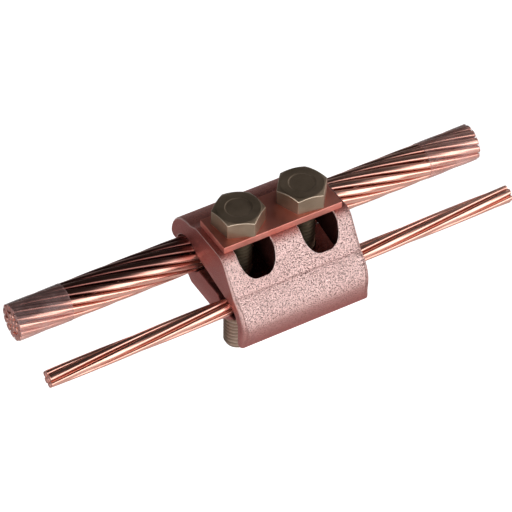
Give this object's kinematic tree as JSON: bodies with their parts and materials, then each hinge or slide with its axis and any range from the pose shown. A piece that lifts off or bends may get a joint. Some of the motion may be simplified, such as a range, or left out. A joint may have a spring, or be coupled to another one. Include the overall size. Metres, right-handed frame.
{
  "type": "parallel clamp",
  "caption": "Bolted copper parallel-groove clamp: hooked saddle, pressure plate, hex bolts and tapped jaw gripping a thick and a thin stranded copper conductor.",
  "frame": {"origin": "on the thick conductor's axis, at the middle of the clamp's length", "axes": "+X along the conductors, +Y from the thin conductor to the thick one, +Z along the bolts towards their heads"},
  "size_m": [0.147, 0.0396, 0.0503],
  "materials": {
    "cast_copper": "grainy cast copper, matt",
    "rolled_copper": "smooth rolled copper, satin",
    "bolt_steel": "dull stainless steel",
    "bright_copper": "bright drawn copper wire",
    "clear_tape": "clear adhesive tape"
  },
  "bodies": {
    "clamp_top": {"upper_saddle": "cast_copper", "pressure_plate": "rolled_copper", "main_core_wire": "bright_copper", "main_inner_wire_1": "bright_copper", "main_inner_wire_2": "bright_copper", "main_inner_wire_3": "bright_copper", "main_inner_wire_4": "bright_copper", "main_inner_wire_5": "bright_copper", "main_inner_wire_6": "bright_copper", "main_outer_wire_1": "bright_copper", "main_outer_wire_2": "bright_copper", "main_outer_wire_3": "bright_copper", "main_outer_wire_4": "bright_copper", "main_outer_wire_5": "bright_copper", "main_outer_wire_6": "bright_copper", "main_outer_wire_7": "bright_copper", "main_outer_wire_8": "bright_copper", "main_outer_wire_9": "bright_copper", "main_outer_wire_10": "bright_copper", "main_outer_wire_11": "bright_copper", "main_outer_wire_12": "bright_copper", "end_tape_left": "clear_tape", "end_tape_right": "clear_tape"},
    "left_bolt": {"bolt_left": "bolt_steel"},
    "right_bolt": {"bolt_right": "bolt_steel"},
    "jaw": {"lower_jaw": "cast_copper", "tap_core_wire": "bright_copper", "tap_outer_wire_1": "bright_copper", "tap_outer_wire_2": "bright_copper", "tap_outer_wire_3": "bright_copper", "tap_outer_wire_4": "bright_copper", "tap_outer_wire_5": "bright_copper", "tap_outer_wire_6": "bright_copper"}
  },
  "joints": [
    {"name": "left_bolt_turn", "type": "hinge", "parent": "clamp_top", "child": "left_bolt", "pos_m": [-0.01, -0.00974, 0.015], "axis": [0, 0, 1], "range_deg": [0, 4321]},
    {"name": "right_bolt_turn", "type": "hinge", "parent": "clamp_top", "child": "right_bolt", "pos_m": [0.01, -0.00974, 0.015], "axis": [0, 0, 1], "range_deg": [0, 4321]},
    {"name": "jaw_slide", "type": "slide", "parent": "clamp_top", "child": "jaw", "axis": [0, 0, -1], "range_m": [0, 0.015]}
  ],
  "couplings": [
    {"joint": "left_bolt_turn", "follows": "jaw_slide", "rad_per_m": 5026.5},
    {"joint": "right_bolt_turn", "follows": "jaw_slide", "rad_per_m": 5026.5}
  ]
}
